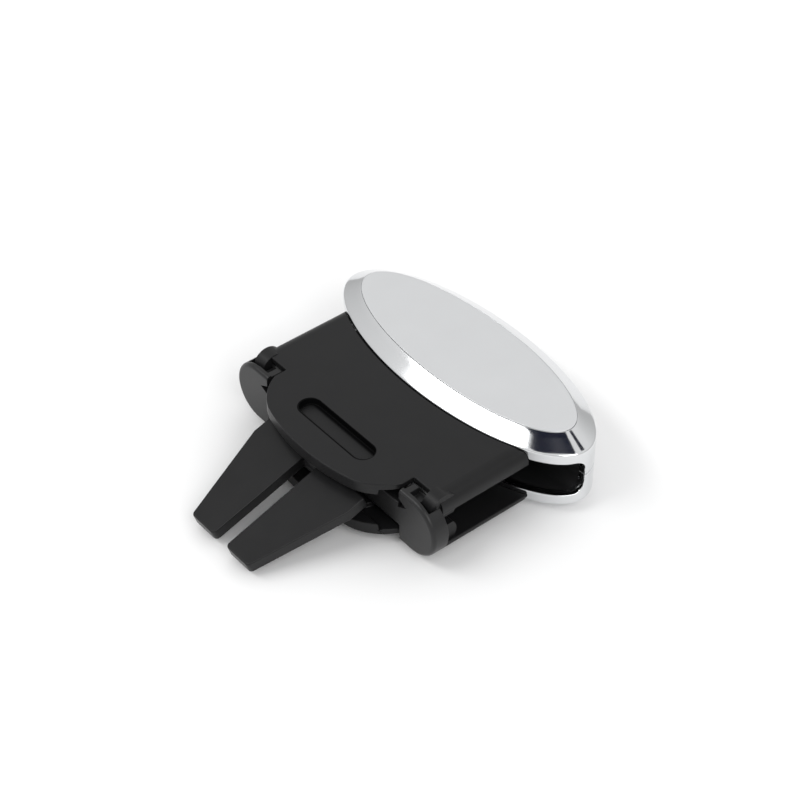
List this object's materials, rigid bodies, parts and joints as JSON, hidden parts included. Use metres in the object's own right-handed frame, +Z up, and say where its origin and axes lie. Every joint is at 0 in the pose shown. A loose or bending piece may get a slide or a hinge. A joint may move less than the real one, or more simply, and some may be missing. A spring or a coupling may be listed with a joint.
{
  "type": "car phone mount",
  "caption": "Spring clip with two hinged jaws, an oval chrome-trimmed nose, thumb tabs and a tilting forked vent clip.",
  "frame": {"origin": "centre of the lower badge's flat face, which the mount rests on", "axes": "+Z up; +X from the vent fork to the oval nose, along the body; +Y across the body, along the hinge pins"},
  "size_m": [0.0535, 0.05, 0.0129],
  "materials": {
    "jaw_plastic": "black satin moulded plastic with a very fine grain",
    "base_plastic": "black satin moulded plastic",
    "fork_plastic": "black moulded nylon, slightly glossier at the edges",
    "bright_chrome": "bright plated plastic",
    "satin_silver": "fine satin silver",
    "rubber": "matte rubber",
    "steel": "zinc-plated steel",
    "spring_steel": "drawn spring wire",
    "washer_nylon": "natural nylon",
    "adhesive": "thin adhesive film"
  },
  "bodies": {
    "base": {"base_yoke": "base_plastic", "clevis_screws": "steel", "fork_clevis": "base_plastic", "fork_pin": "steel", "lower_jaw_pins": "steel", "lower_spring_left": "spring_steel", "lower_spring_right": "spring_steel", "upper_jaw_pins": "steel", "upper_spring_left": "spring_steel", "upper_spring_right": "spring_steel"},
    "fork": {"fork_washers": "washer_nylon", "vent_fork": "fork_plastic"},
    "upper_jaw": {"upper_badge": "satin_silver", "upper_badge_adhesive": "adhesive", "upper_grip_pad": "rubber", "upper_jaw_shell": "jaw_plastic", "upper_lip_pad": "rubber", "upper_nose_cap": "bright_chrome", "upper_nose_screws": "steel"},
    "lower_jaw": {"lower_badge": "satin_silver", "lower_badge_adhesive": "adhesive", "lower_grip_pad": "rubber", "lower_jaw_shell": "jaw_plastic", "lower_lip_pad": "rubber", "lower_nose_cap": "bright_chrome", "lower_nose_screws": "steel"}
  },
  "joints": [
    {"name": "fork_tilt", "type": "hinge", "parent": "base", "child": "fork", "pos_m": [-0.0266, 0, 0.00644], "axis": [0, 1, 0], "range_deg": [-4, 15]},
    {"name": "upper_jaw_hinge", "type": "hinge", "parent": "base", "child": "upper_jaw", "pos_m": [-0.0206, 0, 0.00894], "axis": [0, -1, 0], "range_deg": [0, 8], "stiffness_Nm_per_rad": 0.15, "springref_deg": -20.05},
    {"name": "lower_jaw_hinge", "type": "hinge", "parent": "base", "child": "lower_jaw", "pos_m": [-0.0206, 0, 0.00394], "axis": [0, 1, 0], "range_deg": [0, 8], "stiffness_Nm_per_rad": 0.15, "springref_deg": -20.05}
  ]
}
